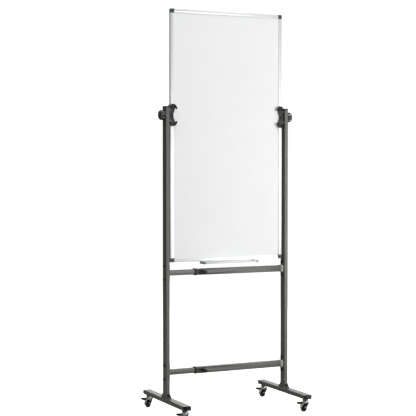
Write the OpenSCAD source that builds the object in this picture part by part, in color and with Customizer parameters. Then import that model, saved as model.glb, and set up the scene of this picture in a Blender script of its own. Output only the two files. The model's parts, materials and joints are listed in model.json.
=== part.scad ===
// Rolling whiteboard: a two-sided board that turns over between the posts of a wheeled stand.
// X runs across the board, -Y is the front, Z is up. The origin is on the floor at the centre.

/* [Board] */
// Width of the board over its rails
board_w = 600; // [450:10:900]
// Height of the board over its rails
board_h = 1200; // [1000:10:1500]
// Thickness of the board over its rails
rail_depth = 14; // [14:0.5:18]
// Width of a rail's front face
rail_face = 16; // [14:0.5:22]
// Thickness of the rail's outer wall, behind the panel's edge
rail_wall = 4; // [3.5:0.5:5]
// Thickness of the panel: two steel sheets and the core
panel_t = 9; // [7:0.5:10]
// Thickness of a steel writing sheet
sheet_t = 0.4; // [0.3:0.1:0.8]
// Side of a corner cap
corner_size = 20; // [20:1:28]

/* [Pen tray] */
// Length of the tray between its end caps
tray_l = 272; // [200:10:400]
// Reach of the tray in front of the board
tray_reach = 50; // [35:1:60]
// Drop of the tray below the board
tray_drop = 10; // [8:0.5:14]
// Wall of the tray
tray_wall = 1.5; // [1.5:0.5:2]
// Length of a tray end cap
tray_cap_l = 9; // [6:1:14]

/* [Stand] */
// Height of the pivot above the floor
pivot_h = 1429; // [1350:2:1600]
// Height of the pivot above the board's lower edge
pivot_on_board = 698; // [600:1:760]
// Gap between the board's edge and a post
side_gap = 10; // [10:0.5:16]
// Width of a post, across the board
post_w = 20; // [18:1:30]
// Depth of a post, front to back
post_d = 40; // [40:1:50]
// Height of a post above the pivot
post_over = 36; // [34:1:80]
// Wall of every steel tube
tube_wall = 1.5; // [1.2:0.1:1.8]
// Length of a foot, front to back
foot_l = 470; // [380:2:600]
// Width of a foot
foot_w = 40; // [36:1:50]
// Height of a foot's tube
foot_h = 20; // [18:1:30]

/* [Telescopic bars] */
// Height of the lower bar's centre above the floor
lower_bar_h = 208; // [180:1:400]
// Side of the inner tube
inner_bar = 25; // [22:0.5:25]
// Side of the outer tube
outer_bar = 30; // [30:0.5:34]
// Length of inner tube that shows beside the left post
bar_reach = 140; // [60:1:160]
// Room past the inner tube's end, inside the outer tube
bar_end_gap = 120; // [60:5:160]
// Distance from a bar's centre to each of its bolts
bolt_offset = 32; // [26:1:40]

/* [Casters] */
// Height of a caster under its boss
caster_h = 55.5; // [55:0.5:62]
// Diameter of a wheel
wheel_d = 39; // [34:0.5:39]
// Width of a wheel
wheel_w = 18; // [14:0.5:20]
// Distance from a foot's end to the swivel axis
caster_inset = 24; // [20:1:45]
// Distance from the swivel axis back to the axle
trail = 16; // [15:0.5:18]
// Diameter of the boss that holds a caster's stem
boss_d = 26; // [24:1:32]
// Height of the boss
boss_h = 11; // [9:1:25]

/* [Clamps] */
// Height of a clamp over its claws
jaw_h = 106; // [100:1:130]
// Overlap of the jaw on the board at its lobes
jaw_lobe = 22; // [20:0.5:26]
// Overlap of the jaw on the board at its waist
jaw_waist = 13; // [9:0.5:16]
// Thickness of a jaw plate
jaw_t = 5; // [4:0.5:6]
// Diameter of the knob on each post
knob_d = 48; // [38:1:56]
// Thickness of that knob
knob_t = 23; // [16:1:30]
// Diameter of the pivot bolt
pivot_d = 8; // [6:0.5:10]

/* [Hidden] */
$fn = 64;
LEFT = -1;
RIGHT = 1;
FRONT = -1;
BACK = 1;

// Finishes
PAINT = [0.24, 0.24, 0.23];
BLACK = [0.08, 0.08, 0.08];
WHITE = [0.95, 0.95, 0.95];
ALUMINIUM = [0.80, 0.81, 0.82];
SLATE = [0.42, 0.46, 0.49];
ZINC = [0.75, 0.78, 0.76];
CARD = [0.72, 0.62, 0.46];
GREY = [0.45, 0.45, 0.44];
DARK_GREY = [0.16, 0.16, 0.16];

// Clearances
run_gap = 0.06; // radial, between a shaft and its bore
slide_gap = 0.15; // a side, between telescoping parts
jaw_gap = 0.2; // between a jaw and the board's rail
jaw_part = 0.1; // from the middle plane to each jaw half
flip_gap = 22; // between the turning board and the upper bar
swivel_gap = 0.3; // between a caster's race and its fork

// Stand
tube_r = 3;
foot_z = caster_h + boss_h;
foot_top = foot_z + foot_h;
post_in = board_w / 2 + side_gap;
post_x = post_in + post_w / 2;
post_top = pivot_h + post_over;
plug_t = 3;
post_cap_t = 6;
plug_in = 18;
caster_y = foot_l / 2 - caster_inset;
socket_wall = 1.5;
socket_base = 8;
socket_fillet = 12;
socket_h = socket_base + socket_fillet;
socket_bolt_z = foot_top + 13;
bolt_d = 8;
bolt_head_d = 14;
bolt_head_t = 4.5;

// Board and tray
board_z = pivot_h - pivot_on_board;
panel_in = rail_wall + 0.5;
core_t = panel_t - 2 * sheet_t;
tray_front = -rail_depth / 2 - tray_reach;
tray_lip = tray_drop - 2;
screw_d = 4;
screw_head_d = 8;
screw_head_t = 1.4;
cap_proud = 0.4;

// Telescopic bars
flip_r = max(board_h - pivot_on_board, norm([tray_front, pivot_on_board + tray_drop]));
upper_bar_h = pivot_h - flip_r - flip_gap - outer_bar / 2;
BAR_HEIGHTS = [upper_bar_h, lower_bar_h];
plate_t = 3;
plate_w = 28;
plate_h = 2 * bolt_offset + 18;
bar_r = 2;
collar_l = 16;
collar_lip = 4;
collar_proud = 1.5;
bracket_l = 16;
bracket_wall = 1.5;
split_x = -post_in + bar_reach;
outer_end = post_in - plate_t;
inner_end = outer_end - bar_end_gap;
glide_l = 14;
glide_lip = 3;

// Locking knobs on the outer tubes
lock_x = split_x + 36;
lock_d = 21;
lock_t = 27;
lock_boss_d = 15;
lock_boss_t = 3;
lock_screw_d = 6;
lock_y = -outer_bar / 2 - lock_boss_t;

// Clamps: u is measured outwards from the board's edge
web_in = 0.6;
web_out = side_gap - 1;
jaw_y = rail_depth / 2 + jaw_gap;
jaw_r = 11;
lobe_z = jaw_h / 2 - 2 - jaw_r;
shoulder_z = lobe_z - 4;
web_h = 2 * shoulder_z;
claw_t = 7;
claw_r = 23;
claw_root = 12;
claw_tip = 8;
claw_u = -8;
claw_z = jaw_h / 2 - claw_r;
pivot_head_t = 4;
pivot_head_d = pivot_d + 5;
washer_t = 0.8;
set_screw_u = -6;
set_screw_d = 5;
set_screw_head_d = 9;
set_screw_head_t = 3;
join_screw_z = 25;
knob_gap = 0.5;
knob_flange = 3;
knob_wall = 4;
knob_lobes = 8;
pivot_end = side_gap + post_w + knob_gap + knob_t - knob_wall;

// Casters, measured from the swivel axis
axle_z = wheel_d / 2;
axle_d = 6;
race_t = 6;
fork_t = 2;
fork_in = wheel_w / 2 + 2.5;
fork_out = fork_in + fork_t;
fork_top = caster_h - race_t;
fork_plate_t = 2.5;
fork_r = 15;
fork_eye_r = 6.5;
fork_front = -9;
fork_back = 13;
race_r = 13;
rivet_r = 4;
rivet_head_r = 6;
rivet_head_t = 2;
stem_d = 10;
pedal_y = trail - 4;
pedal_z = wheel_d + 4.5;
pedal_pin_r = 2;
pedal_half = 30;
pedal_front = trail + 5;
pedal_back = trail + 15;
pedal_low = wheel_d + 1;
pedal_high = wheel_d + 7;
pedal_root_low = wheel_d - 5;
pedal_tip_low = wheel_d - 2;
pedal_tip_high = wheel_d + 8;
pedal_hub_front = trail - 7;
pedal_hub_low = wheel_d + 2.5;
pedal_hub_high = wheel_d + 6.5;
shoe_back = trail + 11;
shoe_low = wheel_d - 0.4;

// ---------------------------------------------------------------- shared shapes

// Rectangle with round corners, centred
module rounded_rect(w, d, r) {
    square([w - 2 * r, d], center = true);
    square([w, d - 2 * r], center = true);
    for (x = [-1, 1], y = [-1, 1])
        translate([x * (w / 2 - r), y * (d / 2 - r)]) circle(r = r);
}

// Section of a hollow tube
module tube_section(w, d, r, wall) {
    difference() {
        rounded_rect(w, d, r);
        rounded_rect(w - 2 * wall, d - 2 * wall, max(r - wall, 0.5));
    }
}

// Turns a section from XY with its length along Z, so that its length runs along +X
module along_x() {
    rotate([90, 0, 90]) children();
}

// The same, with the length along +Y and the section's X and Y on X and Z
module along_y(y0, l) {
    translate([0, y0 + l, 0]) rotate([90, 0, 0]) linear_extrude(l) children();
}

// A cylinder along X from x0 to x1
module x_pin(x0, x1, r) {
    translate([min(x0, x1), 0, 0]) rotate([0, 90, 0]) cylinder(h = abs(x1 - x0), r = r);
}

// A cylinder along Y from y0 to y1
module y_pin(y0, y1, r) {
    translate([0, min(y0, y1), 0]) rotate([-90, 0, 0]) cylinder(h = abs(y1 - y0), r = r);
}

// Domed head along +Z, standing on z = 0
module domed_head(d, t) {
    rim = t * 0.45;
    r = d / 2;
    rise = t - rim;
    ball_r = (r * r + rise * rise) / (2 * rise);
    cylinder(h = rim, r = r);
    intersection() {
        translate([0, 0, t - ball_r]) sphere(r = ball_r, $fn = 96);
        translate([0, 0, rim / 2]) cylinder(h = t, r = r);
    }
}

// ---------------------------------------------------------------- posts and feet

// Steel post with its pivot bore and the bores of its bars' bolts
module post(side) {
    color(PAINT) difference() {
        translate([side * post_x, 0, foot_top])
            linear_extrude(post_top - foot_top) tube_section(post_w, post_d, tube_r, tube_wall);
        at_pivot() x_pin(side * (post_in - 1), side * (post_in + post_w + 1), pivot_d / 2 + run_gap);
        for (h = BAR_HEIGHTS, z = [-1, 1]) translate([0, 0, h + z * bolt_offset])
            x_pin(side * (post_in - 1), side * (post_in + post_w + 1), bolt_d / 2);
        translate([side * post_x, 0, socket_bolt_z]) y_pin(-post_d / 2 - 1, 0, bolt_d / 2);
    }
}

module at_pivot() {
    translate([0, 0, pivot_h]) children();
}

// Steel foot tube with the two bosses welded under it for the casters' stems
module foot(side) {
    color(PAINT) {
        translate([side * post_x, 0, foot_z + foot_h / 2])
            along_y(-foot_l / 2, foot_l) tube_section(foot_w, foot_h, tube_r, tube_wall);
        for (y = [-1, 1]) translate([side * post_x, y * caster_y, caster_h]) difference() {
            cylinder(h = boss_h, d = boss_d);
            translate([0, 0, -1]) cylinder(h = boss_h, d = stem_d);
        }
    }
}

// Cast shoe that carries the post on the foot, with a concave flare to the front and back
module socket(side) {
    flare = post_d / 2 + socket_wall + socket_fillet;
    color(PAINT) difference() {
        translate([side * post_x - post_w / 2 - socket_wall, 0, foot_top])
            along_x() linear_extrude(post_w + 2 * socket_wall) difference() {
                translate([-flare, 0]) square([2 * flare, socket_h]);
                for (y = [-1, 1]) translate([y * flare, socket_h]) circle(r = socket_fillet);
            }
        translate([side * post_x, 0, foot_top - 1])
            linear_extrude(socket_h + 2) rounded_rect(post_w, post_d, tube_r);
        translate([side * post_x, 0, socket_bolt_z]) {
            y_pin(-flare, 0, bolt_d / 2);
            y_pin(-flare, -post_d / 2 - socket_wall, bolt_head_d / 2 + 1);
        }
    }
}

// Plastic plugs: one in the post's top and one in each end of the foot
module plugs(side) {
    post_bore = [post_w - 2 * tube_wall, post_d - 2 * tube_wall];
    foot_bore = [foot_w - 2 * tube_wall, foot_h - 2 * tube_wall];
    plug_r = tube_r - tube_wall / 2;
    color(BLACK) {
        translate([side * post_x, 0, post_top]) {
            intersection() {
                linear_extrude(post_cap_t) rounded_rect(post_w, post_d, tube_r);
                translate([-post_w / 2, 0, 0]) along_x() linear_extrude(post_w)
                    rounded_rect(post_d, 2 * post_cap_t, post_cap_t - 1);
            }
            translate([0, 0, -plug_in])
                linear_extrude(plug_in) tube_section(post_bore[0], post_bore[1], plug_r, 2);
        }
        for (y = [-1, 1]) translate([side * post_x, y * foot_l / 2, foot_z + foot_h / 2])
            mirror([0, y > 0 ? 0 : 1, 0]) {
                along_y(0, plug_t) rounded_rect(foot_w, foot_h, tube_r);
                along_y(-plug_in, plug_in) tube_section(foot_bore[0], foot_bore[1], plug_r, 2);
            }
    }
}

// Through-bolts of one post: two at each bar with a domed head and nut, and one in the socket
module bolts(side) {
    inner = post_in - plate_t;
    outer = post_in + post_w;
    color(BLACK) {
        for (h = BAR_HEIGHTS, z = [-1, 1]) translate([0, 0, h + z * bolt_offset]) {
            x_pin(side * inner, side * outer, bolt_d / 2);
            translate([side * outer, 0, 0]) rotate([0, side * 90, 0]) domed_head(bolt_head_d, bolt_head_t);
            translate([side * inner, 0, 0]) rotate([0, -side * 90, 0]) domed_head(bolt_head_d, bolt_head_t);
        }
        translate([side * post_x, 0, socket_bolt_z]) {
            y_pin(-post_d / 2 - socket_wall, -post_d / 2 + 6, bolt_d / 2);
            translate([0, -post_d / 2 - socket_wall, 0])
                rotate([90, 0, 0]) domed_head(bolt_head_d, bolt_head_t);
        }
    }
}

// Stems of one foot's casters: threaded end in the boss, fixed race, and rivet through the fork
module stems(side) {
    plate_low = fork_top - fork_plate_t;
    color(ZINC) for (y = [-1, 1]) translate([side * post_x, y * caster_y, 0]) {
        translate([0, 0, caster_h]) cylinder(h = boss_h - 2, d = stem_d);
        translate([0, 0, fork_top + swivel_gap]) cylinder(h = caster_h - fork_top - swivel_gap, r = race_r);
        translate([0, 0, plate_low - swivel_gap]) cylinder(h = fork_plate_t + 2 * swivel_gap, r = rivet_r);
        translate([0, 0, plate_low - swivel_gap - rivet_head_t]) cylinder(h = rivet_head_t, r = rivet_head_r);
    }
}

// ---------------------------------------------------------------- telescopic bars

// End plate of a bar, with its two bolt bores, from x0 to x0 + plate_t
module end_plate(x0, h) {
    translate([x0, 0, h]) difference() {
        along_x() linear_extrude(plate_t) rounded_rect(plate_w, plate_h, 6);
        for (z = [-1, 1]) translate([0, 0, z * bolt_offset]) x_pin(-1, plate_t + 1, bolt_d / 2);
    }
}

// Inner tube, welded to the plate on the left post
module inner_bar(h) {
    start = -post_in + plate_t;
    color(PAINT) {
        end_plate(-post_in, h);
        translate([start, 0, h]) along_x()
            linear_extrude(inner_end - start) tube_section(inner_bar, inner_bar, bar_r, tube_wall);
    }
}

// Plastic glides on the inner tubes' hidden ends, which run in the outer tubes
module inner_bar_glides() {
    bore = outer_bar - 2 * tube_wall - 2 * slide_gap;
    core = inner_bar - 2 * tube_wall;
    color(BLACK) for (h = BAR_HEIGHTS) translate([inner_end, 0, h]) along_x() {
        linear_extrude(glide_lip) rounded_rect(bore, bore, bar_r);
        translate([0, 0, -glide_l]) linear_extrude(glide_l) rounded_rect(core, core, bar_r / 2);
    }
}

// Outer tube, welded to the plate on the right post, with the boss and the bore of its locking screw
module outer_bar(h) {
    color(PAINT) end_plate(outer_end, h);
    color(PAINT) difference() {
        union() {
            translate([split_x, 0, h]) along_x()
                linear_extrude(outer_end - split_x) tube_section(outer_bar, outer_bar, bar_r, tube_wall);
            translate([lock_x, 0, h]) y_pin(lock_y, -outer_bar / 2 + tube_wall / 2, lock_boss_d / 2);
        }
        translate([lock_x, 0, h]) y_pin(lock_y - 1, 0, lock_screw_d / 2 + run_gap);
    }
}

// Plastic bushes in the outer tubes' open ends, each with a lip outside the tube
module outer_bar_collars() {
    outer = outer_bar + 2 * collar_proud;
    sleeve = outer_bar - 2 * tube_wall;
    bore = inner_bar + 2 * slide_gap;
    color(BLACK) for (h = BAR_HEIGHTS) translate([split_x - collar_lip, 0, h]) along_x() difference() {
        union() {
            linear_extrude(collar_lip) rounded_rect(outer, outer, bar_r + 1);
            linear_extrude(collar_lip + collar_l) rounded_rect(sleeve, sleeve, 0.5);
        }
        translate([0, 0, -1]) linear_extrude(collar_lip + collar_l + 2) rounded_rect(bore, bore, bar_r);
    }
}

// Sleeves round the outer tubes where they meet the right post
module outer_bar_brackets() {
    outer = outer_bar + 2 * bracket_wall;
    color(GREY) for (h = BAR_HEIGHTS) translate([outer_end - bracket_l, 0, h]) along_x()
        linear_extrude(bracket_l) difference() {
            rounded_rect(outer, outer, bar_r + bracket_wall);
            rounded_rect(outer_bar, outer_bar, bar_r);
        }
}

// Ribbed hand knob, standing on z = 0, with a chamfered outer edge
module hand_knob(d, t, lobes) {
    notch = d * 0.2;
    taper = t * 0.12;
    intersection() {
        linear_extrude(t) difference() {
            circle(d = d);
            for (i = [0:lobes - 1]) rotate((i + 0.5) * 360 / lobes)
                translate([d / 2 + notch * 0.22, 0]) circle(d = notch);
        }
        union() {
            cylinder(h = t - taper, d = d + 1);
            translate([0, 0, t - taper]) cylinder(h = taper, d1 = d + 1, d2 = d * 0.84);
        }
    }
}

// Locking knob of one bar
module lock_knob(h) {
    color(BLACK) translate([lock_x, lock_y - knob_gap, h]) rotate([90, 0, 0]) difference() {
        hand_knob(lock_d, lock_t, knob_lobes - 2);
        translate([0, 0, -1]) cylinder(h = lock_t - knob_wall, d = lock_screw_d);
    }
}

// Screw moulded into that knob, which bears on the inner tube
module lock_screw(h) {
    tip = -inner_bar / 2 - slide_gap;
    head = lock_y - knob_gap - (lock_t - knob_wall - 1);
    color(ZINC) translate([lock_x, 0, h]) y_pin(head, tip, lock_screw_d / 2);
}

// ---------------------------------------------------------------- board

// Places its children in the board's own frame: X and Z from the board's lower edge, at its middle
module on_board() {
    translate([0, 0, board_z]) children();
}

// Outline that stays a margin inside the board's edge, clear of the corner caps
module panel_outline(margin) {
    difference() {
        translate([0, board_h / 2]) square([board_w - 2 * margin, board_h - 2 * margin], center = true);
        for (x = [-1, 1], z = [0, 1])
            translate([x * board_w / 2, z * board_h]) square(2 * corner_size, center = true);
    }
}

// White steel sheet on one face, inside the rails' lips
module sheet(face) {
    y = face == FRONT ? -panel_t / 2 : panel_t / 2 - sheet_t;
    color(WHITE) on_board() along_y(y, sheet_t) panel_outline(rail_face);
}

// Honeycomb board between the sheets, whose edge the rails grip
module panel_core() {
    color(CARD) on_board() along_y(-core_t / 2, core_t) panel_outline(panel_in);
}

// Rail section: the board's outer edge on x = 0, the slot for the panel open towards +X
module rail_section() {
    groove = 0.8;
    difference() {
        translate([0, -rail_depth / 2]) square([rail_face, rail_depth]);
        translate([rail_wall, -core_t / 2]) square([rail_face, core_t]);
        for (y = [-1, 1]) translate([rail_wall, y * rail_depth / 2]) square(groove, center = true);
    }
}

// Upright rail on one side
module side_rail(side) {
    color(ALUMINIUM) on_board() translate([side * board_w / 2, 0, corner_size])
        linear_extrude(board_h - 2 * corner_size) mirror([side > 0 ? 1 : 0, 0]) rail_section();
}

// Rail along the top
module rail_top() {
    color(ALUMINIUM) on_board() translate([-board_w / 2 + corner_size, 0, board_h])
        rotate([0, 90, 0]) linear_extrude(board_w - 2 * corner_size) rail_section();
}

// Rail along the bottom, with the bores of the tray's screws
module rail_bottom() {
    color(ALUMINIUM) on_board() difference() {
        translate([board_w / 2 - corner_size, 0, 0])
            rotate([0, -90, 0]) linear_extrude(board_w - 2 * corner_size) rail_section();
        for (x = [-1, 0, 1]) translate([x * tray_l / 3, 0, -1]) cylinder(h = rail_wall + 2, d = screw_d);
    }
}

// Plastic caps over the rails' ends
module corner_caps() {
    r = 4;
    depth = rail_depth + 2 * cap_proud;
    color(SLATE) on_board() for (x = [-1, 1], z = [0, 1])
        translate([x * board_w / 2, 0, z * board_h]) mirror([x > 0 ? 1 : 0, 0, 0]) mirror([0, 0, z])
            difference() {
                along_y(-depth / 2, depth) {
                    translate([r, 0]) square([corner_size - r, corner_size]);
                    translate([0, r]) square([corner_size, corner_size - r]);
                    translate([r, r]) circle(r = r);
                }
                translate([corner_size / 2, 0, corner_size / 2]) y_pin(-depth, depth, screw_d / 2);
            }
}

// Screws of the board: one through each corner cap, and three that hold the tray to the rail
module board_screws() {
    half = rail_depth / 2 + cap_proud;
    color(BLACK) on_board() {
        for (x = [-1, 1], z = [corner_size / 2, board_h - corner_size / 2])
            translate([x * (board_w / 2 - corner_size / 2), 0, z]) {
                y_pin(-half, half, screw_d / 2);
                for (y = [-1, 1]) translate([0, y * half, 0])
                    rotate([-y * 90, 0, 0]) domed_head(screw_head_d, screw_head_t);
            }
        for (x = [-1, 0, 1]) translate([x * tray_l / 3, 0, 0]) {
            translate([0, 0, -tray_wall]) cylinder(h = tray_wall + rail_wall, d = screw_d);
            translate([0, 0, -tray_wall]) mirror([0, 0, 1]) domed_head(screw_head_d, screw_head_t);
        }
    }
}

// Section of the tray in Y and Z, with the board's lower edge on z = 0
module tray_section() {
    back = -rail_depth / 2;
    translate([back, -tray_wall]) square([rail_depth - 2, tray_wall]);
    translate([back, -tray_drop]) square([tray_wall, tray_drop]);
    translate([tray_front, -tray_drop]) square([tray_reach + tray_wall, tray_wall]);
    translate([tray_front, -tray_drop]) square([tray_wall, tray_lip]);
    translate([tray_front + tray_wall, -tray_drop + tray_lip]) circle(r = tray_wall);
}

// Aluminium pen tray
module pen_tray() {
    color(WHITE) on_board() difference() {
        translate([-tray_l / 2, 0, 0]) along_x() linear_extrude(tray_l) tray_section();
        for (x = [-1, 0, 1]) translate([x * tray_l / 3, 0, -2 * tray_wall])
            cylinder(h = 3 * tray_wall, d = screw_d);
    }
}

// Plastic caps on the tray's ends
module tray_end_caps() {
    r = 5;
    low = -tray_drop - 1;
    front = tray_front - 1;
    color(SLATE) on_board() for (x = [-1, 1])
        translate([x > 0 ? tray_l / 2 : -tray_l / 2 - tray_cap_l, 0, 0])
            along_x() linear_extrude(tray_cap_l) {
                translate([front + r, low]) square([-front - r, tray_drop + 1]);
                translate([front, low + r]) square([-front, tray_drop + 1 - r]);
                translate([front + r, low + r]) circle(r = r);
            }
}

// ---------------------------------------------------------------- clamps

// Places its children at a clamp: +X runs outwards from the board's edge, and Z is up from the pivot
module at_clamp(side) {
    at_pivot() translate([side * board_w / 2, 0, 0]) mirror([side > 0 ? 0 : 1, 0, 0]) children();
}

// Upper half of a jaw's outline: from the waist round the lobe, then down a slope to the outer edge
JAW_UPPER = concat(
    [for (i = [0:10]) [-jaw_waist - (jaw_lobe - jaw_waist) * pow(sin(9 * i), 2), lobe_z * i / 10]],
    [for (a = [165:-15:45]) [-jaw_lobe + jaw_r + jaw_r * cos(a), lobe_z + jaw_r * sin(a)]],
    [[web_out, shoulder_z]]);

// Waisted outline of a jaw, seen from the front
module jaw_outline() {
    polygon(JAW_UPPER);
    mirror([0, 1]) polygon(JAW_UPPER);
    translate([-jaw_waist, -lobe_z / 2]) square([jaw_waist + web_out, lobe_z]);
}

// Two cast halves, front and back, that meet outside the board's edge
module clamp_jaws(side) {
    color(DARK_GREY) at_clamp(side) for (face = [FRONT, BACK]) mirror([0, face > 0 ? 1 : 0, 0]) difference() {
        union() {
            along_y(-jaw_y - jaw_t, jaw_t) jaw_outline();
            translate([web_in, -jaw_y - jaw_t / 2, -web_h / 2])
                cube([web_out - web_in, jaw_y + jaw_t / 2 - jaw_part, web_h]);
        }
        x_pin(web_in - 1, web_out + 1, pivot_d / 2 + run_gap);
        x_pin(web_in - 1, web_in + pivot_head_t, pivot_head_d / 2 + run_gap);
        translate([set_screw_u, 0, 0]) y_pin(-jaw_y - jaw_t - 1, 0, set_screw_d / 2);
        for (z = [-1, 1]) translate([(web_in + web_out) / 2, 0, z * join_screw_z])
            y_pin(-jaw_y - jaw_t - 1, 1, screw_d / 2);
    }
}

// Claw on one lobe: a crescent that thins from its root to a tip turned towards the waist
module claw_outline() {
    steps = 12;
    turn = 105;
    outer = [for (i = [0:steps])
        [claw_u + claw_r * cos(80 + turn * i / steps), claw_z + claw_r * sin(80 + turn * i / steps)]];
    inner = [for (i = [steps:-1:0]) let (r = claw_r - claw_root + (claw_root - claw_tip) * i / steps)
        [claw_u + r * cos(80 + turn * i / steps), claw_z + r * sin(80 + turn * i / steps)]];
    polygon(concat([[web_out, shoulder_z]], outer, inner));
}

// Plastic claws over the four lobes of one clamp
module clamp_hooks(side) {
    color(BLACK) at_clamp(side) for (face = [FRONT, BACK], end = [0, 1])
        mirror([0, face > 0 ? 1 : 0, 0]) mirror([0, 0, end])
            along_y(-jaw_y - jaw_t - claw_t, claw_t) claw_outline();
}

// Pivot bolt with its washer, and the screws that join the jaw's halves
module clamp_bolts(side) {
    color(ZINC) at_clamp(side) {
        x_pin(web_in, pivot_end, pivot_d / 2);
        x_pin(web_in, web_in + pivot_head_t, pivot_head_d / 2);
        difference() {
            x_pin(web_out + 0.1, web_out + 0.1 + washer_t, pivot_d);
            x_pin(web_out, web_out + 2, pivot_d / 2 + 0.01);
        }
        for (z = [-1, 1]) translate([(web_in + web_out) / 2, 0, z * join_screw_z]) {
            y_pin(-jaw_y - jaw_t, jaw_y + jaw_t, screw_d / 2);
            for (face = [-1, 1]) translate([0, face * (jaw_y + jaw_t), 0])
                rotate([-face * 90, 0, 0]) domed_head(screw_head_d, screw_head_t);
        }
    }
}

// Set screws in the jaw's waist, front and back
module set_screws(side) {
    color(BLACK) at_clamp(side) for (face = [FRONT, BACK]) translate([set_screw_u, 0, 0]) {
        y_pin(face * (jaw_y + 0.1), face * (jaw_y + jaw_t), set_screw_d / 2);
        translate([0, face * (jaw_y + jaw_t), 0])
            rotate([-face * 90, 0, 0]) domed_head(set_screw_head_d, set_screw_head_t);
    }
}

// Ribbed knob outside the post, a running fit on the pivot bolt
module clamp_knob(side) {
    color(BLACK) at_clamp(side) translate([side_gap + post_w + knob_gap, 0, 0]) rotate([0, 90, 0])
        difference() {
            union() {
                hand_knob(knob_d, knob_t, knob_lobes);
                cylinder(h = knob_flange, d = knob_d * 0.6);
            }
            translate([0, 0, -1]) cylinder(h = knob_t - knob_wall + 1.3, r = pivot_d / 2 + run_gap);
        }
}

// ---------------------------------------------------------------- casters

// Places its children at a caster: Z from the floor on the swivel axis
module at_caster(side, end) {
    translate([side * post_x, end * caster_y, 0]) children();
}

// Pressed steel fork
module fork(side, end) {
    arm_depth = fork_back - fork_front;
    color(ZINC) at_caster(side, end) difference() {
        union() {
            translate([0, 0, fork_top - fork_plate_t]) linear_extrude(fork_plate_t) {
                circle(r = fork_r);
                translate([-fork_out, fork_front]) square([2 * fork_out, arm_depth]);
            }
            for (x = [-fork_out, fork_in]) translate([x, 0, 0]) along_x() linear_extrude(fork_t) {
                polygon([
                    [fork_front, fork_top], [fork_front, fork_top - 6],
                    [trail - fork_eye_r, axle_z - 2], [trail + fork_eye_r, axle_z],
                    [trail + fork_eye_r, wheel_d - 5], [fork_back, fork_top]]);
                translate([trail, axle_z]) circle(r = fork_eye_r);
            }
        }
        cylinder(h = fork_top + 1, r = rivet_r + run_gap);
        translate([0, trail, axle_z]) x_pin(-fork_out - 1, fork_out + 1, axle_d / 2);
        translate([0, pedal_y, pedal_z]) x_pin(-fork_out - 1, fork_out + 1, pedal_pin_r + run_gap);
    }
}

// Axle bolt with its hexagon nut on the outside
module axle(side, end) {
    color(ZINC) at_caster(side, end) translate([0, trail, axle_z]) {
        x_pin(-fork_out - 5, fork_out, axle_d / 2);
        translate([-fork_out - 4, 0, 0]) rotate([0, 90, 0]) cylinder(h = 4, r = 5.5, $fn = 6);
        translate([fork_out, 0, 0]) rotate([0, 90, 0]) domed_head(10, 2.5);
    }
}

// Moulded wheel with a round-edged tread and dished sides
module wheel(side, end) {
    edge = 3;
    dish = 2.5;
    color(BLACK) at_caster(side, end) translate([0, trail, axle_z]) rotate([0, 90, 0]) difference() {
        rotate_extrude($fn = 96) {
            translate([0, -wheel_w / 2]) square([wheel_d / 2 - edge, wheel_w]);
            translate([0, -wheel_w / 2 + edge]) square([wheel_d / 2, wheel_w - 2 * edge]);
            for (z = [-1, 1]) translate([wheel_d / 2 - edge, z * (wheel_w / 2 - edge)]) circle(r = edge);
        }
        for (z = [-wheel_w / 2 - 1, wheel_w / 2 - dish]) translate([0, 0, z]) difference() {
            cylinder(h = dish + 1, r = wheel_d / 2 - 5);
            cylinder(h = dish + 1, r = axle_d / 2 + 3);
        }
        translate([0, 0, -wheel_w]) cylinder(h = 2 * wheel_w, r = axle_d / 2 + run_gap);
    }
}

// Brake pedal: a hub on its pin between the arms, a bar over the wheel's back with a wing on each
// side, and a shoe under the bar
module pedal(side, end) {
    inside = fork_in - 0.5;
    outside = fork_out + 0.4;
    depth = pedal_back - pedal_front;
    color(BLACK) at_caster(side, end) {
        translate([-outside - 1, pedal_front, pedal_low])
            cube([2 * outside + 2, depth, pedal_high - pedal_low]);
        for (x = [0, 1]) mirror([x, 0, 0]) along_y(pedal_front, depth) polygon([
            [outside, pedal_root_low], [pedal_half - 5, pedal_tip_low], [pedal_half - 1, pedal_tip_low + 2],
            [pedal_half, pedal_tip_low + 5], [pedal_half, pedal_tip_high - 2],
            [pedal_half - 2, pedal_tip_high], [outside + 1, pedal_high], [outside, pedal_high]]);
        translate([-inside, pedal_hub_front, pedal_hub_low])
            cube([2 * inside, pedal_front - pedal_hub_front + 1, pedal_hub_high - pedal_hub_low]);
        translate([-inside, 0, 0]) along_x() linear_extrude(2 * inside) polygon([
            [pedal_front, pedal_low], [shoe_back, shoe_low], [shoe_back, pedal_low + 1],
            [pedal_front, pedal_low + 1]]);
        translate([0, pedal_y, pedal_z]) x_pin(-outside - 1, outside + 1, pedal_pin_r);
    }
}

// ---------------------------------------------------------------- nodes

post(LEFT);  // left_post
foot(LEFT);  // left_foot
socket(LEFT);  // left_socket
plugs(LEFT);  // left_plugs
bolts(LEFT);  // left_bolts
stems(LEFT);  // left_stems
inner_bar(upper_bar_h);  // upper_inner_bar
inner_bar(lower_bar_h);  // lower_inner_bar
inner_bar_glides();
post(RIGHT);  // right_post
foot(RIGHT);  // right_foot
socket(RIGHT);  // right_socket
plugs(RIGHT);  // right_plugs
bolts(RIGHT);  // right_bolts
stems(RIGHT);  // right_stems
outer_bar(upper_bar_h);  // upper_outer_bar
outer_bar(lower_bar_h);  // lower_outer_bar
outer_bar_collars();
outer_bar_brackets();
lock_knob(upper_bar_h);  // upper_lock_knob
lock_knob(lower_bar_h);  // lower_lock_knob
lock_screw(upper_bar_h);  // upper_lock_screw
lock_screw(lower_bar_h);  // lower_lock_screw
sheet(FRONT);  // front_sheet
sheet(BACK);  // back_sheet
panel_core();
side_rail(LEFT);  // rail_left
side_rail(RIGHT);  // rail_right
rail_top();
rail_bottom();
corner_caps();
board_screws();
pen_tray();
tray_end_caps();
clamp_jaws(LEFT);  // left_clamp_jaws
clamp_hooks(LEFT);  // left_clamp_hooks
clamp_bolts(LEFT);  // left_clamp_bolts
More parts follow.
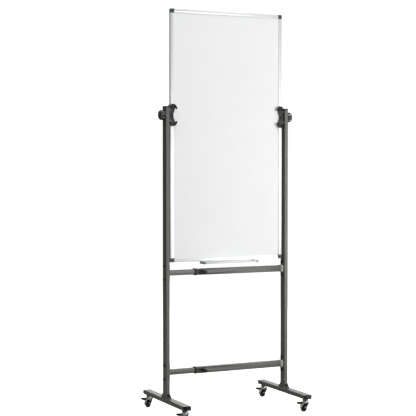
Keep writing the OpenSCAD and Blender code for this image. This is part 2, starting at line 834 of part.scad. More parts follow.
set_screws(LEFT);  // left_set_screws
clamp_knob(LEFT);  // left_clamp_knob
clamp_jaws(RIGHT);  // right_clamp_jaws
clamp_hooks(RIGHT);  // right_clamp_hooks
clamp_bolts(RIGHT);  // right_clamp_bolts
set_screws(RIGHT);  // right_set_screws
clamp_knob(RIGHT);  // right_clamp_knob
fork(LEFT, FRONT);  // front_left_fork
axle(LEFT, FRONT);  // front_left_axle
wheel(LEFT, FRONT);  // front_left_wheel
pedal(LEFT, FRONT);  // front_left_pedal
fork(RIGHT, FRONT);  // front_right_fork
axle(RIGHT, FRONT);  // front_right_axle
wheel(RIGHT, FRONT);  // front_right_wheel
pedal(RIGHT, FRONT);  // front_right_pedal
fork(LEFT, BACK);  // back_left_fork
axle(LEFT, BACK);  // back_left_axle
wheel(LEFT, BACK);  // back_left_wheel
pedal(LEFT, BACK);  // back_left_pedal
fork(RIGHT, BACK);  // back_right_fork
axle(RIGHT, BACK);  // back_right_axle
wheel(RIGHT, BACK);  // back_right_wheel
pedal(RIGHT, BACK);  // back_right_pedal
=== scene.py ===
"""Looks of a rolling whiteboard, built round its CAD frame. Metres, +Z up, the board faces -Y."""

import json
import math

import bmesh
import bpy
import numpy as np
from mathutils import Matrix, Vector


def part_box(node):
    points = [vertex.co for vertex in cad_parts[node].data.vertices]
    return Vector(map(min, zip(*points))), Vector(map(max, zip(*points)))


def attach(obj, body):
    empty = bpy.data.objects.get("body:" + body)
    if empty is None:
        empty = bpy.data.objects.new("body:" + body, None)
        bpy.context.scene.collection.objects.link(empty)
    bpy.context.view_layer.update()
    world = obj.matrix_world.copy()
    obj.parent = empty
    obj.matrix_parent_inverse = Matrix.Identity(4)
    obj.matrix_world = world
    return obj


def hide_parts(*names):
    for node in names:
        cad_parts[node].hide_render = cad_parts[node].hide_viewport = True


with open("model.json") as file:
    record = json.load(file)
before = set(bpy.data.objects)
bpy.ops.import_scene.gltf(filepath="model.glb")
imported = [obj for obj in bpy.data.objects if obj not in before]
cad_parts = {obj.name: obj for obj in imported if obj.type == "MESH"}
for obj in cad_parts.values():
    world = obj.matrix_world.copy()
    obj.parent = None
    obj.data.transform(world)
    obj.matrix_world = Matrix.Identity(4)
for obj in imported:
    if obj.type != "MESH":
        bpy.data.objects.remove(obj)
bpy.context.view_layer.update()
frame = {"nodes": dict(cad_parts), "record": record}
MM = 0.001
# Distance within which points merge, and the most that two faces may turn by and still be one flat
# face, be shaded as one surface, or keep the edge between them unrounded
MERGE_REACH = 0.002 * MM
FLAT_TURN = math.radians(1)
SMOOTH_TURN = math.radians(50)
BEVEL_TURN = math.radians(32)
SIDES = ("left", "right")
CASTERS = ("front_left", "front_right", "back_left", "back_right")
RECORD = frame["record"]
BODY = {node: body for body, nodes in RECORD["behaviour"]["bodies"].items() for node in nodes}
SLOT = {row["node"]: row["material_slot"] for row in RECORD["subparts"]}


# ---------------------------------------------------------------- meshes


def grid_faces(rows, columns, loop_rows=False, start=0):
    """Quads of a grid of points whose last column joins the first, and last row too if asked."""
    down = rows if loop_rows else rows - 1
    r, c = np.meshgrid(np.arange(down), np.arange(columns), indexing="ij")
    a, b = r * columns + c, r * columns + (c + 1) % columns
    below = (r + 1) % rows * columns
    quads = np.stack([a, b, below + (c + 1) % columns, below + c], axis=-1)
    return (quads.reshape(-1, 4) + start).tolist()


def mesh_object(name, points, faces):
    """A smooth-shaded mesh object at the origin from an array of points and a list of faces."""
    mesh = bpy.data.meshes.new(name)
    mesh.from_pydata(points.reshape(-1, 3).tolist(), [], faces)
    mesh.polygons.foreach_set("use_smooth", np.full(len(mesh.polygons), True))
    mesh.update()
    piece = bpy.data.objects.new(name, mesh)
    bpy.context.collection.objects.link(piece)
    return piece


def sheet_object(name, points):
    """An open sheet from a grid of points."""
    rows, columns = points.shape[:2]
    r, c = np.meshgrid(np.arange(rows - 1), np.arange(columns - 1), indexing="ij")
    a = r * columns + c
    quads = np.stack([a, a + 1, a + 1 + columns, a + columns], axis=-1).reshape(-1, 4)
    return mesh_object(name, points, quads.tolist())


def solid_object(name, shells):
    """One mesh of closed shells, each a stack of rings with a flat cap on its first and last ring."""
    faces, start = [], 0
    for rings in shells:
        rows, columns = rings.shape[:2]
        faces += grid_faces(rows, columns, start=start)
        faces.append([start + i for i in range(columns)][::-1])
        start += rows * columns
        faces.append([start - columns + i for i in range(columns)])
    points = np.concatenate([rings.reshape(-1, 3) for rings in shells])
    piece = mesh_object(name, points, faces)
    piece.data.set_sharp_from_angle(angle=SMOOTH_TURN)
    return piece


def rounded(profile, times=2):
    """Cuts a profile's corners: each pass puts points at a quarter and three quarters of each side."""
    line = np.array(profile, dtype=float)
    for _ in range(times):
        a, b = line[:-1], line[1:]
        cuts = np.stack([0.75 * a + 0.25 * b, 0.25 * a + 0.75 * b], axis=1).reshape(-1, line.shape[1])
        line = np.concatenate([line[:1], cuts, line[-1:]])
    return line


def turned(profile, lobes=0, columns=64):
    """Rings round +Z from rows of height, radius and groove depth in millimetres.

    The radius loses the groove depth times (1 - cos(lobes * turn)) / 2, so a rib stands at turn zero.
    """
    height, radius, depth = (np.array(profile, dtype=float) * MM).T[:, :, None]
    turn = np.linspace(0, 2 * np.pi, columns, endpoint=False)
    reach = radius - depth * (1 - np.cos(lobes * turn)) / 2
    return np.stack([reach * np.cos(turn), reach * np.sin(turn), height + 0 * turn], axis=-1)


def button_head(diameter, height, socket, columns=48):
    """Rings of a domed screw head on z = 0 with a hexagon socket, from sizes in millimetres.

    A row is a share of the height, the radius of a circle and the share of the hexagon in the ring,
    whose reach is half the socket's width over the cosine of the angle from the nearest flat's middle.
    """
    turn = np.linspace(0, 2 * np.pi, columns, endpoint=False)
    flat = socket / 2 / np.cos((turn + np.pi / 6) % (np.pi / 3) - np.pi / 6)
    r = diameter / 2
    rows = [(0, r, 0), (0.3, r, 0), (0.5, 0.96 * r, 0), (0.72, 0.84 * r, 0), (0.88, 0.68 * r, 0)]
    rows += [(0.97, 0.52 * r, 0), (1.0, 0.6 * socket, 0.6), (0.97, 0, 1), (0.4, 0, 1), (0.36, 0, 0.3)]
    z, circle, share = np.array(rows, dtype=float).T[:, :, None]
    reach = circle * (1 - share) + flat * share
    return np.stack([reach * np.cos(turn), reach * np.sin(turn), z * height + 0 * turn], axis=-1) * MM


def stood(points, place, axis):
    """Turns +Z onto a level axis, with local X on the cross product of +Z and that axis, and moves it."""
    axis = np.array(axis, dtype=float)
    side = np.cross([0, 0, 1], axis)
    return points @ np.stack([side, np.cross(axis, side), axis]) + np.array(place)


def merged_copy(node):
    """A copy of a CAD piece's mesh with its loose triangles merged and its flat faces made whole."""
    mesh = frame["nodes"][node].data.copy()
    shape = bmesh.new()
    shape.from_mesh(mesh)
    bmesh.ops.remove_doubles(shape, verts=shape.verts, dist=MERGE_REACH)
    bmesh.ops.dissolve_limit(shape, angle_limit=FLAT_TURN, verts=shape.verts, edges=shape.edges)
    shape.to_mesh(mesh)
    shape.free()
    return mesh


def solids_of(node):
    """The lowest and highest corner of each separate solid of a CAD piece.

    Every point takes the lowest number among the points that its edges join, until nothing changes.
    """
    mesh = merged_copy(node)
    points = np.empty(3 * len(mesh.vertices))
    mesh.vertices.foreach_get("co", points)
    points = points.reshape(-1, 3)
    ends = np.empty(2 * len(mesh.edges), dtype=int)
    mesh.edges.foreach_get("vertices", ends)
    a, b = ends.reshape(-1, 2).T
    label, before = np.arange(len(points)), None
    while before is None or (label != before).any():
        before = label.copy()
        lowest = np.minimum(label[a], label[b])
        np.minimum.at(label, a, lowest)
        np.minimum.at(label, b, lowest)
    return [(points[label == k].min(axis=0), points[label == k].max(axis=0)) for k in np.unique(label)]


def finish_piece(piece, node, keep=False):
    """Gives a piece the finish, slot and body of a CAD node, which it stands for unless that is kept."""
    piece.data.materials.clear()
    piece.data.materials.append(FINISHES.get(node, MATERIALS[SLOT[node]]))
    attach(piece, BODY[node])
    if not keep:
        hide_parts(node)


def softened(node, edge, segments):
    """A CAD piece with its sharp edges rounded to so many millimetres."""
    mesh = merged_copy(node)
    mesh.polygons.foreach_set("use_smooth", np.full(len(mesh.polygons), True))
    piece = bpy.data.objects.new(node + "_soft", mesh)
    bpy.context.collection.objects.link(piece)
    bevel = piece.modifiers.new("rounded_edges", "BEVEL")
    bevel.width = edge * MM
    bevel.segments = segments
    bevel.limit_method = "ANGLE"
    bevel.angle_limit = BEVEL_TURN
    bevel.harden_normals = True
    finish_piece(piece, node)


# ---------------------------------------------------------------- camera, lights and floor

# Strength of the surround as it lights the object and as a shiny surface mirrors it, and of the
# floor's own white as the camera sees it
SURROUND = 0.19
MIRRORED = 0.32
FLOOR_WHITE = 0.97


def aim(thing, place, azimuth, pitch):
    """Puts a camera or lamp at a place, looking azimuth degrees right of +Y and pitch degrees down."""
    thing.location = place
    thing.rotation_euler = (math.radians(90 - pitch), 0, math.radians(-azimuth))
    bpy.context.collection.objects.link(thing)


def make_camera():
    """Long lens at chest height, left of the board's middle."""
    data = bpy.data.cameras.new("camera")
    data.lens = 104.9
    data.sensor_width = 36
    camera = bpy.data.objects.new("camera", data)
    aim(camera, (-2.631, -5.252, 1.189), 25.73, 1.99)
    bpy.context.scene.camera = camera


def area_light(name, place, azimuth, pitch, size, watts):
    """A rectangular softbox."""
    data = bpy.data.lights.new(name, "AREA")
    data.shape = "RECTANGLE"
    data.size, data.size_y = size
    data.energy = watts
    aim(bpy.data.objects.new(name, data), place, azimuth, pitch)


def make_lights():
    """Softboxes at the front right, overhead and behind, a low weak strip behind, and a surround.

    The camera sees the surround as full white, which lights the object only dimly.
    """
    area_light("key_softbox", (2.9, -4.3, 0.6), -34, -3, (2.0, 2.2), 184)
    area_light("top_softbox", (-0.2, -0.9, 4.2), 0, 90, (3.4, 2.4), 86)
    area_light("back_softbox", (0.6, 3.6, 4.0), 190, 40, (2.4, 1.6), 120)
    area_light("low_strip", (2.0, 3.7, 1.2), -150, 2, (3.0, 2.0), 34)
    world = bpy.data.worlds.new("studio")
    bpy.context.scene.world = world
    world.use_nodes = True
    tree = world.node_tree
    seen = add(tree, "ShaderNodeLightPath", out="Is Camera Ray")
    mirrored = add(tree, "ShaderNodeLightPath", out="Is Glossy Ray")
    dim = add(tree, "ShaderNodeMapRange", {"Value": mirrored, "To Min": SURROUND, "To Max": MIRRORED})
    strength = add(tree, "ShaderNodeMapRange", {"Value": seen, "To Min": dim, "To Max": 1.0})
    shade = tree.nodes["Background"].inputs
    shade["Color"].default_value = (1, 1, 1, 1)
    tree.links.new(strength, shade["Strength"])
    bpy.context.scene.view_settings.view_transform = "Standard"


def make_floor():
    """Floor that rises behind the object in one sweep: a straight, a quarter circle and a straight."""
    reach, bend, width = 6.0, 3.0, 14.0
    turn = np.linspace(0, math.pi / 2, 24)
    y = np.concatenate([[-9.0], reach + bend * np.sin(turn), [reach + bend]])
    z = np.concatenate([[0.0], bend * (1 - np.cos(turn)), [9.0]])
    points = np.empty((len(y), 2, 3))
    points[..., 0] = [-width, width]
    points[..., 1] = y[:, None]
    points[..., 2] = z[:, None]
    floor = sheet_object("studio_floor", points)
    floor.data.materials.append(floor_paper())


# ---------------------------------------------------------------- materials


def linear(code):
    """Linear colour with alpha from an sRGB hex code."""
    srgb = np.array([int(code[i : i + 2], 16) for i in (1, 3, 5)]) / 255
    rgb = np.where(srgb <= 0.04045, srgb / 12.92, ((srgb + 0.055) / 1.055) ** 2.4)
    return (*rgb.tolist(), 1.0)


def per_mm(size):
    """Texture scale at which one pattern cell measures size millimetres."""
    return 1 / (size * MM)


def add(tree, kind, inputs=None, out=0, **settings):
    """Adds a node, sets or links its inputs, and gives one of its outputs. Hex codes become colours."""
    node = tree.nodes.new(kind)
    for name, value in settings.items():
        setattr(node, name, value)
    for key, value in (inputs or {}).items():
        if isinstance(value, bpy.types.NodeSocket):
            tree.links.new(value, node.inputs[key])
        else:
            node.inputs[key].default_value = linear(value) if isinstance(value, str) else value
    return node.outputs[out]


def new_material(name, colour, roughness, metallic=0.0, **sockets):
    """A material with its tree, its shader's inputs and the object coordinates of its surface."""
    material = bpy.data.materials.new(name)
    material.use_nodes = True
    material.diffuse_color = linear(colour)
    tree = material.node_tree
    shader = tree.nodes["Principled BSDF"].inputs
    shader["Base Color"].default_value = linear(colour)
    shader["Roughness"].default_value = roughness
    shader["Metallic"].default_value = metallic
    for socket, value in sockets.items():
        shader[socket.replace("_", " ")].default_value = value
    return material, tree, shader, add(tree, "ShaderNodeTexCoord", out="Object")


def powder_coat(name, dark, light, roughness=0.44):
    """Satin powder coat: orange peel 1.8 mm across, a fine sparkle of grit and a few paler scuffs."""
    coat = {"Coat_Weight": 0.12, "Coat_Roughness": 0.34}
    material, tree, shader, place = new_material(name, dark, roughness, **coat)
    grit = add(tree, "ShaderNodeTexNoise", {"Vector": place, "Scale": per_mm(0.8), "Detail": 2.0})
    cloud = add(tree, "ShaderNodeTexNoise", {"Vector": place, "Scale": per_mm(60), "Detail": 3.0})
    both = add(tree, "ShaderNodeMath", {0: grit, 1: cloud}, operation="ADD")
    tone = add(tree, "ShaderNodeMapRange", {"Value": both, "From Min": 0.75, "From Max": 1.25})
    paint = add(tree, "ShaderNodeMix", {0: tone, 6: dark, 7: light}, out=2, data_type="RGBA")
    drawn = add(tree, "ShaderNodeMapping", {"Vector": place, "Scale": (1.0, 1.0, 0.18)})
    scratch = add(tree, "ShaderNodeTexNoise", {"Vector": drawn, "Scale": per_mm(3.5), "Detail": 5.0})
    rare = {"Value": scratch, "From Min": 0.66, "From Max": 0.74, "To Max": 0.35}
    scuff = add(tree, "ShaderNodeMapRange", rare)
    worn = add(tree, "ShaderNodeMix", {0: scuff, 6: paint, 7: "#9a9891"}, out=2, data_type="RGBA")
    tree.links.new(worn, shader["Base Color"])
    spread = {"Value": cloud, "To Min": roughness - 0.08, "To Max": roughness + 0.1}
    gloss = add(tree, "ShaderNodeMapRange", spread)
    tree.links.new(gloss, shader["Roughness"])
    peel = add(tree, "ShaderNodeTexNoise", {"Vector": place, "Scale": per_mm(1.8), "Detail": 1.0})
    tree.links.new(add(tree, "ShaderNodeBump", {"Height": peel, "Distance": 0.03 * MM}), shader["Normal"])
    return material


def moulded_plastic(name, dark, light, roughness, grain=0.7, sheen=0.2):
    """Moulded plastic: a spark-eroded grain drawn up to 0.9 mm coarse, with a slight change of gloss."""
    material, tree, shader, place = new_material(name, dark, roughness, Specular_IOR_Level=sheen)
    cloud = add(tree, "ShaderNodeTexNoise", {"Vector": place, "Scale": per_mm(22), "Detail": 3.0})
    tone = add(tree, "ShaderNodeMapRange", {"Value": cloud, "From Min": 0.3, "From Max": 0.7})
    colour = add(tree, "ShaderNodeMix", {0: tone, 6: dark, 7: light}, out=2, data_type="RGBA")
    tree.links.new(colour, shader["Base Color"])
    spread = {"Value": cloud, "To Min": roughness + 0.1, "To Max": roughness - 0.08}
    gloss = add(tree, "ShaderNodeMapRange", spread)
    tree.links.new(gloss, shader["Roughness"])
    grains = add(tree, "ShaderNodeTexNoise", {"Vector": place, "Scale": per_mm(grain), "Detail": 3.0})
    tree.links.new(add(tree, "ShaderNodeBump", {"Height": grains, "Distance": 0.035 * MM}), shader["Normal"])
    return material


def white_enamel():
    """Baked white enamel on steel: satin, with a slow roller wave and the faint haze of wiped ink."""
    material, tree, shader, place = new_material("white_enamel", "#f3f5f5", 0.42)
    swept = add(tree, "ShaderNodeMapping", {"Vector": place, "Scale": (0.7, 1.0, 0.8)})
    wipes = add(tree, "ShaderNodeTexNoise", {"Vector": swept, "Scale": per_mm(90), "Detail": 3.0})
    tone = add(tree, "ShaderNodeMapRange", {"Value": wipes, "From Min": 0.3, "From Max": 0.7})
    colour = add(tree, "ShaderNodeMix", {0: tone, 6: "#f3f4f4", 7: "#f5f6f6"}, out=2, data_type="RGBA")
    tree.links.new(colour, shader["Base Color"])
    gloss = add(tree, "ShaderNodeMapRange", {"Value": wipes, "To Min": 0.4, "To Max": 0.46})
    tree.links.new(gloss, shader["Roughness"])
    wave = add(tree, "ShaderNodeTexNoise", {"Vector": place, "Scale": per_mm(35), "Detail": 1.0})
    tree.links.new(add(tree, "ShaderNodeBump", {"Height": wave, "Distance": 0.008 * MM}), shader["Normal"])
    return material


def anodised_aluminium(name, stretch):
    """Anodised extrusion: die lines along the rail, drawn 0.6 mm apart so that they show."""
    material, tree, shader, place = new_material(name, "#dadcdc", 0.48, 0.72)
    drawn = add(tree, "ShaderNodeMapping", {"Vector": place, "Scale": stretch})
    lines = add(tree, "ShaderNodeTexNoise", {"Vector": drawn, "Scale": per_mm(0.6), "Detail": 2.0})
    tone = add(tree, "ShaderNodeMapRange", {"Value": lines, "From Min": 0.3, "From Max": 0.7})
    colour = add(tree, "ShaderNodeMix", {0: tone, 6: "#d6d9d8", 7: "#e4e6e5"}, out=2, data_type="RGBA")
    tree.links.new(colour, shader["Base Color"])
    gloss = add(tree, "ShaderNodeMapRange", {"Value": lines, "To Min": 0.44, "To Max": 0.56})
    tree.links.new(gloss, shader["Roughness"])
    tree.links.new(add(tree, "ShaderNodeBump", {"Height": lines, "Distance": 0.02 * MM}), shader["Normal"])
    return material


def tray_lacquer():
    """White lacquer on aluminium: satin, with grey marker dust that gathers along the trough."""
    material, tree, shader, place = new_material("tray_lacquer", "#e6e8e8", 0.32)
    along = add(tree, "ShaderNodeMapping", {"Vector": place, "Scale": (0.35, 1.0, 1.0)})
    dust = add(tree, "ShaderNodeTexNoise", {"Vector": along, "Scale": per_mm(6), "Detail": 5.0})
    thick = {"Value": dust, "From Min": 0.52, "From Max": 0.8, "To Max": 0.6}
    share = add(tree, "ShaderNodeMapRange", thick)
    colour = add(tree, "ShaderNodeMix", {0: share, 6: "#e8eaea", 7: "#b9bcbd"}, out=2, data_type="RGBA")
    tree.links.new(colour, shader["Base Color"])
    peel = add(tree, "ShaderNodeTexNoise", {"Vector": place, "Scale": per_mm(1.4), "Detail": 1.0})
    tree.links.new(add(tree, "ShaderNodeBump", {"Height": peel, "Distance": 0.02 * MM}), shader["Normal"])
    return material


def zinc_plate(name, dark, light, roughness):
    """Zinc plate on steel: cool grey with faint bluish and straw-coloured clouds and dull spangles."""
    material, tree, shader, place = new_material(name, light, roughness, 1.0)
    cloud = add(tree, "ShaderNodeTexNoise", {"Vector": place, "Scale": per_mm(9), "Detail": 3.0})
    tone = add(tree, "ShaderNodeMapRange", {"Value": cloud, "From Min": 0.3, "From Max": 0.7})
    colour = add(tree, "ShaderNodeMix", {0: tone, 6: dark, 7: light}, out=2, data_type="RGBA")
    tree.links.new(colour, shader["Base Color"])
    spangle = add(tree, "ShaderNodeTexNoise", {"Vector": place, "Scale": per_mm(2.4), "Detail": 3.0})
    spread = {"Value": spangle, "To Min": roughness - 0.12, "To Max": roughness + 0.14}
    gloss = add(tree, "ShaderNodeMapRange", spread)
    tree.links.new(gloss, shader["Roughness"])
    tree.links.new(add(tree, "ShaderNodeBump", {"Height": spangle, "Distance": 0.03 * MM}), shader["Normal"])
    return material


def black_oxide():
    """Black oxide on bolts: dark metal with a soft oily sheen, rubbed paler in spots."""
    material, tree, shader, place = new_material("black_oxide_steel", "#121213", 0.4, 0.5)
    rub = add(tree, "ShaderNodeTexNoise", {"Vector": place, "Scale": per_mm(2.5), "Detail": 4.0})
    share = add(tree, "ShaderNodeMapRange", {"Value": rub, "From Min": 0.52, "From Max": 0.75})
    colour = add(tree, "ShaderNodeMix", {0: share, 6: "#0e0e0f", 7: "#2a2a2b"}, out=2, data_type="RGBA")
    tree.links.new(colour, shader["Base Color"])
    tree.links.new(add(tree, "ShaderNodeBump", {"Height": rub, "Distance": 0.02 * MM}), shader["Normal"])
    return material


def paper_honeycomb():
    """Brown paper honeycomb with 12 mm cells, hidden between the sheets."""
    material, tree, shader, place = new_material("paper_honeycomb", "#a98f68", 0.9)
    cells = add(tree, "ShaderNodeTexVoronoi", {"Vector": place, "Scale": per_mm(12)})
    colour = add(tree, "ShaderNodeMix", {0: cells, 6: "#8f7650", 7: "#b89e76"}, out=2, data_type="RGBA")
    tree.links.new(colour, shader["Base Color"])
    return material


def floor_paper():
    """Seamless paper that the camera sees as nearly white, and that lights the object as pale grey."""
    material, tree, shader, _ = new_material("floor_paper", "#b0b0ae", 0.9)
    seen = add(tree, "ShaderNodeLightPath", out="Is Camera Ray")
    shader["Emission Color"].default_value = (1, 1, 1, 1)
    lift = add(tree, "ShaderNodeMapRange", {"Value": seen, "To Min": 0.0, "To Max": FLOOR_WHITE})
    tree.links.new(lift, shader["Emission Strength"])
    return material


MATERIALS = {
    "stand_paint": powder_coat("graphite_powder_coat", "#494742", "#54524c"),
    "bracket_paint": powder_coat("grey_powder_coat", "#85847f", "#92918b"),
    "black_plastic": moulded_plastic("black_nylon", "#0a0a0b", "#121213", 0.4),
    "blackened_steel": black_oxide(),
    "jaw_nylon": moulded_plastic("dark_grey_nylon", "#252525", "#333331", 0.42, grain=0.9),
    "white_enamel": white_enamel(),
    "honeycomb_board": paper_honeycomb(),
    "anodised_aluminium": anodised_aluminium("anodised_aluminium", (1.0, 1.0, 0.02)),
    "tray_lacquer": tray_lacquer(),
    "slate_plastic": moulded_plastic("slate_abs", "#565b5e", "#62676a", 0.4),
    "zinc_plate": zinc_plate("bright_zinc_plate", "#a9bab6", "#d2d5c4", 0.28),
    "wheel_plastic": moulded_plastic("black_polypropylene", "#0b0b0c", "#121213", 0.26, sheen=0.5),
}
# Finishes of pieces that differ from the others of their slot: die lines across the board, a grip
# polished by hands, tray ends painted paler as painted light that lifts their shade, and duller zinc between
# the jaws
ACROSS = anodised_aluminium("anodised_aluminium_across", (0.02, 1.0, 1.0))
HANDLED = moulded_plastic("handled_nylon", "#161617", "#232324", 0.22, sheen=0.8)
# Tray end caps: a grey painted paler than the slate plastic, as painted light that lifts the shade on their
# left faces
SHADE_LIFTED_ABS = moulded_plastic("shade_lifted_grey_abs", "#8e9293", "#9da1a1", 0.4)
DULLED = zinc_plate("dull_zinc_plate", "#6f7672", "#8b8f86", 0.55)
FINISHES = {"rail_top": ACROSS, "rail_bottom": ACROSS, "tray_end_caps": SHADE_LIFTED_ABS}
FINISHES |= {side + "_clamp_bolts": DULLED for side in SIDES}
FINISHES |= {side + "_clamp_knob": HANDLED for side in SIDES}


# ---------------------------------------------------------------- knobs

# Rows of height above the post, radius and groove depth, in millimetres
CLAMP_KNOB = [(0, 18, 0), (0.3, 21, 2), (1.2, 23.6, 5), (3, 24, 6), (18, 24, 6), (20.6, 23.4, 5.4)]
CLAMP_KNOB += [(22.4, 21.6, 3.4), (23, 18.8, 0.6), (22.4, 17, 0), (21.6, 14, 0), (21.8, 8, 0)]
CLAMP_KNOB += [(22.2, 0.2, 0)]
LOCK_KNOB = [(0, 7.5, 0), (3.5, 7, 0), (4.6, 8.4, 0.4), (5.4, 10, 1.4), (7.5, 10.5, 2), (22, 10.5, 2)]
LOCK_KNOB += [(25, 9.8, 1.4), (26.7, 8.4, 0.3), (27, 6.8, 0), (26.4, 5.8, 0), (26.2, 0.2, 0)]


def make_knobs():
    """Ribbed grips turned from the profiles above, eight ribs on a clamp's knob and six on a bar's."""
    for side, way in (("left", -1), ("right", 1)):
        node = side + "_clamp_knob"
        low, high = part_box(node)
        foot = (high[0] if way < 0 else low[0], (low[1] + high[1]) / 2, (low[2] + high[2]) / 2)
        rings = turned(rounded(CLAMP_KNOB), lobes=8, columns=160)
        finish_piece(solid_object(node + "_grip", [stood(rings, foot, (way, 0, 0))]), node)
    for bar in ("upper", "lower"):
        node = bar + "_lock_knob"
        low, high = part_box(node)
        foot = ((low[0] + high[0]) / 2, high[1], (low[2] + high[2]) / 2)
        rings = turned(rounded(LOCK_KNOB), lobes=6, columns=120)
        finish_piece(solid_object(node + "_grip", [stood(rings, foot, (0, -1, 0))]), node)


# ---------------------------------------------------------------- bolts

# Width across flats of the hexagon sockets, and diameter of a bolt's shank, in millimetres
BOLT_SOCKET = 5
SCREW_SOCKET = 4
BOLT_SHANK = 8
# Height of a head as a share of its diameter, and depth of the shank's end below the crown as a
# share of that height
HEAD_SHARE = 0.32
SHANK_DEPTH = 0.9


def head_at(low, high, along, way, socket):
    """A button head whose crown is at one end of a solid's box, along X or Y."""
    wide = (high[2] - low[2]) / MM
    tall = HEAD_SHARE * wide
    base = (low + high) / 2
    base[along] = (high if way > 0 else low)[along] - way * tall * MM
    return stood(button_head(wide, tall, socket), base, np.eye(3)[along] * way)


def make_bolts():
    """Socket bolts: those along X have a head at each end, those along Y one at the front."""
    for side in SIDES:
        shells = []
        for low, high in solids_of(side + "_bolts"):
            size = (high - low) / MM
            along = 0 if size[0] > size[1] else 1
            ends = (-1,) if along else (-1, 1)
            shells += [head_at(low, high, along, way, BOLT_SOCKET) for way in ends]
            hidden = SHANK_DEPTH * HEAD_SHARE * size[2]
            start = (low + high) / 2
            start[along] = low[along] + hidden * MM
            reach = size[along] - hidden * len(ends)
            shank = turned([(0, BOLT_SHANK / 2, 0), (reach, BOLT_SHANK / 2, 0)], columns=32)
            shells.append(stood(shank, start, np.eye(3)[along]))
        finish_piece(solid_object(side + "_socket_bolts", shells), side + "_bolts")


def make_set_screws():
    """Button heads of the set screws in the jaws' waists, facing out at the front and the back."""
    for side in SIDES:
        shells = []
        for low, high in solids_of(side + "_set_screws"):
            way = 1 if low[1] + high[1] > 0 else -1
            shells.append(head_at(low, high, 1, way, SCREW_SOCKET))
        finish_piece(solid_object(side + "_waist_screws", shells), side + "_set_screws")


# ---------------------------------------------------------------- casters

# Spokes of a wheel, and how far in millimetres they rise out of its dish
SPOKES = 5
SPOKE_RISE = 2
# Radius in millimetres of a fork's round top plate, whose front is the fork's foremost point
FORK_PLATE = 15
# Thickness of a fork's sheet, radius of its bends and of the arms' ends round the axle, and how far
# its edges are rounded back, in millimetres
FORK_WALL = 2
FORK_SHOULDER = 4
FORK_EYE = 6.5
SHEET_EDGE = 0.4


def wheel_surface(width, radius):
    """Closed skin of a wheel on the X axis: a section carried round, whose dish rises into spokes.

    A row is a radius, a distance from the wheel's middle plane, and 1 where the dish is, which rises
    by the spokes' rise times the fourth power of (1 + cos(spokes * turn)) / 2. The rim's outer corner
    is rounded off in four steps.
    """
    half = width / 2
    side = [(3.1, half - 0.6, 0), (3.6, half, 0), (5.8, half, 0), (6.6, half - 0.5, 0), (7.2, half - 2.6, 1)]
    side += [(11.6, half - 3.0, 1), (13.4, half - 2.8, 1), (14.2, half - 0.6, 0), (14.8, half - 0.2, 0)]
    side += [(16.0, half - 0.2, 0), (17.4, half - 0.9, 0), (18.6, half - 2.2, 0), (19.3, half - 4.0, 0)]
    side += [(radius, half - 5.5, 0), (radius, 0.4, 0), (radius - 0.25, 0.25, 0), (radius - 0.25, 0, 0)]
    right = np.array(side)
    left = right[-2::-1] * (1, -1, 1)
    section = np.concatenate([right, left])
    turn = np.linspace(0, 2 * np.pi, 96, endpoint=False)
    reach, x, dish = section.T[:, :, None]
    spoke = ((1 + np.cos(SPOKES * turn)) / 2) ** 4
    x = x + np.sign(x) * dish * SPOKE_RISE * spoke
    return np.stack([x + 0 * turn, reach * np.cos(turn), reach * np.sin(turn)], axis=-1) * MM


def fork_surface(low, high, trail):
    """Middle surface of a pressed fork: a U across X carried from arm to arm over a flat top.

    The U's path runs up one arm, round a shoulder and over the top. At each height the strip's front
    and back edges follow the arm: a half circle round the axle, then straight lines to the top plate,
    whose edge is a circle round the swivel.
    """
    half = (high[0] - low[0]) / 2 / MM - FORK_WALL / 2
    top = high[2] / MM - FORK_WALL / 2
    bottom = low[2] / MM
    axle = bottom + FORK_EYE
    rise = np.linspace(FORK_EYE, top - FORK_SHOULDER - bottom, 22)
    arm_z = bottom + np.concatenate([[0, 0.35, 1.1, 2.4, 4.2], rise])
    bend = np.radians(np.linspace(0, 90, 9))[1:]
    over = np.linspace(half - FORK_SHOULDER, 0, 8)[1:]
    bend_x = half + FORK_SHOULDER * (np.cos(bend) - 1)
    bend_z = top + FORK_SHOULDER * (np.sin(bend) - 1)
    x = np.concatenate([np.full(len(arm_z), half), bend_x, over])
    z = np.concatenate([arm_z, bend_z, np.full(len(over), top)])
    drop = np.clip(axle - z, 0, FORK_EYE)
    reach = np.sqrt(np.clip(FORK_EYE**2 - drop**2, 0.6, None))
    front_edge = [trail - FORK_EYE, trail - FORK_EYE - 8.5, -9, -12.2]
    back_edge = [trail + FORK_EYE, trail + FORK_EYE - 0.5, 15.5, 12.4]
    front = np.interp(z, [axle, axle + 10, top - 5, top], front_edge)
    back = np.interp(z, [axle, axle + 13, top - 5, top], back_edge)
    front = np.where(z < axle, trail - reach, front)
    back = np.where(z < axle, trail + reach, back)
    flat = np.arange(len(z)) >= len(z) - len(over) - 2
    circle = np.sqrt(FORK_PLATE**2 - x**2)
    front = np.where(flat, -circle, front)
    back = np.where(flat, circle, back)
    x, z = np.concatenate([x, -x[-2::-1]]), np.concatenate([z, z[-2::-1]])
    front, back = np.concatenate([front, front[-2::-1]]), np.concatenate([back, back[-2::-1]])
    across = np.linspace(0, 1, 13)
    y = front[:, None] * (1 - across) + back[:, None] * across
    return np.stack([x[:, None] + 0 * y, y, z[:, None] + 0 * y], axis=-1) * MM


def make_wheel(name):
    """Moulded wheel with spokes."""
    low, high = map(np.array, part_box(name + "_wheel"))
    width, _, diameter = (high - low) / MM
    skin = wheel_surface(width, diameter / 2) + (low + high) / 2
    faces = grid_faces(*skin.shape[:2], loop_rows=True)
    wheel = mesh_object(name + "_wheel_moulding", skin, [face[::-1] for face in faces])
    wheel.data.set_sharp_from_angle(angle=SMOOTH_TURN)
    finish_piece(wheel, name + "_wheel")


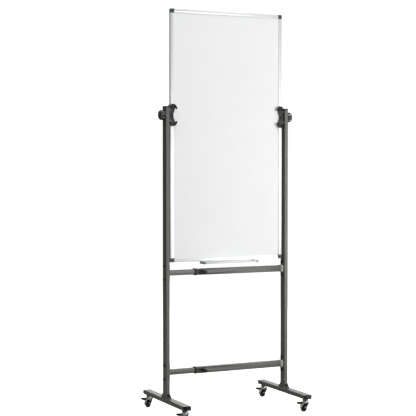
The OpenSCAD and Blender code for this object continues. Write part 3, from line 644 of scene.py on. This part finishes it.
def make_fork(name):
    """Fork pressed from zinc-plated sheet, with broken edges."""
    low, high = map(np.array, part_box(name + "_fork"))
    wheel_low, wheel_high = map(np.array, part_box(name + "_wheel"))
    swivel = np.array([(low[0] + high[0]) / 2, low[1] + FORK_PLATE * MM, 0])
    trail = ((wheel_low[1] + wheel_high[1]) / 2 - swivel[1]) / MM
    points = fork_surface(low - swivel, high - swivel, trail) + swivel
    fork = sheet_object(name + "_fork_pressing", points)
    shell = fork.modifiers.new("plate", "SOLIDIFY")
    shell.thickness = FORK_WALL * MM
    shell.offset = 0
    edge = fork.modifiers.new("rounded_edges", "BEVEL")
    edge.width = SHEET_EDGE * MM
    edge.segments = 2
    edge.limit_method = "ANGLE"
    edge.angle_limit = SMOOTH_TURN
    finish_piece(fork, name + "_fork")


# ---------------------------------------------------------------- welds

# Height of a foot's tube, and the bead's path, thickness and number of ripples, in millimetres
FOOT_H = 20
BEAD_PATH = 13.2
BEAD_THICK = 1.6
RIPPLES = 26


def weld_bead():
    """A bead round an upright boss: a ring whose thickness ripples with the welder's steps.

    The thickness gains 0.16 cos(ripples * turn) + 0.08 sin(3 * turn) of itself.
    """
    turn = np.linspace(0, 2 * np.pi, 120, endpoint=False)
    around = np.linspace(0, 2 * np.pi, 10, endpoint=False)[:, None]
    size = BEAD_THICK * (1 + 0.16 * np.cos(RIPPLES * turn) + 0.08 * np.sin(3 * turn))
    reach = BEAD_PATH + size * np.cos(around)
    ring = np.stack([reach * np.cos(turn), reach * np.sin(turn), size * np.sin(around)], axis=-1)
    return ring * MM


def make_welds():
    """Weld beads where the casters' bosses meet the feet."""
    ring = weld_bead()
    rows, columns = ring.shape[:2]
    for side in SIDES:
        node = side + "_foot"
        low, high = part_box(node)
        forks = [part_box(end + "_" + side + "_fork") for end in ("front", "back")]
        x, z = (low[0] + high[0]) / 2, high[2] - FOOT_H * MM
        points = np.concatenate([ring + (x, fork_low[1] + FORK_PLATE * MM, z) for fork_low, _ in forks])
        faces = grid_faces(rows, columns, loop_rows=True)
        faces += grid_faces(rows, columns, loop_rows=True, start=rows * columns)
        finish_piece(mesh_object(node + "_welds", points, faces), node, keep=True)


# ---------------------------------------------------------------- pieces that keep their CAD shape

# How far in millimetres each piece's edges are rounded back
EDGES = {"rail_left": 0.5, "rail_right": 0.5, "rail_top": 0.5, "rail_bottom": 0.5, "corner_caps": 1.2}
EDGES |= {"board_screws": 0.3, "pen_tray": 0.35, "tray_end_caps": 1.4, "outer_bar_collars": 0.5}
EDGES |= {"outer_bar_brackets": 0.5, "upper_inner_bar": 0.5, "lower_inner_bar": 0.5}
EDGES |= {"upper_outer_bar": 0.5, "lower_outer_bar": 0.5}
for side in SIDES:
    EDGES |= {side + "_socket": 1.0, side + "_plugs": 0.8, side + "_stems": 0.6}
    EDGES |= {side + "_clamp_jaws": 1.2, side + "_clamp_hooks": 1.8, side + "_clamp_bolts": 0.4}
for name in CASTERS:
    EDGES |= {name + "_axle": 0.4, name + "_pedal": 1.4}


def make_softened():
    """Rounds the edges of the moulded, cast and cut pieces, in three steps where they are wide."""
    for node, edge in EDGES.items():
        softened(node, edge, 3 if edge > 1 else 2)


def paint_frame():
    """Gives every CAD node the finish of its slot, for those that no piece stands for."""
    for node, slot in SLOT.items():
        shown = frame["nodes"][node]
        shown.data.materials.clear()
        shown.data.materials.append(MATERIALS[slot])


# ---------------------------------------------------------------- build

make_camera()
make_lights()
make_floor()
paint_frame()
make_softened()
make_knobs()
make_bolts()
make_set_screws()
for name in CASTERS:
    make_wheel(name)
    make_fork(name)
make_welds()
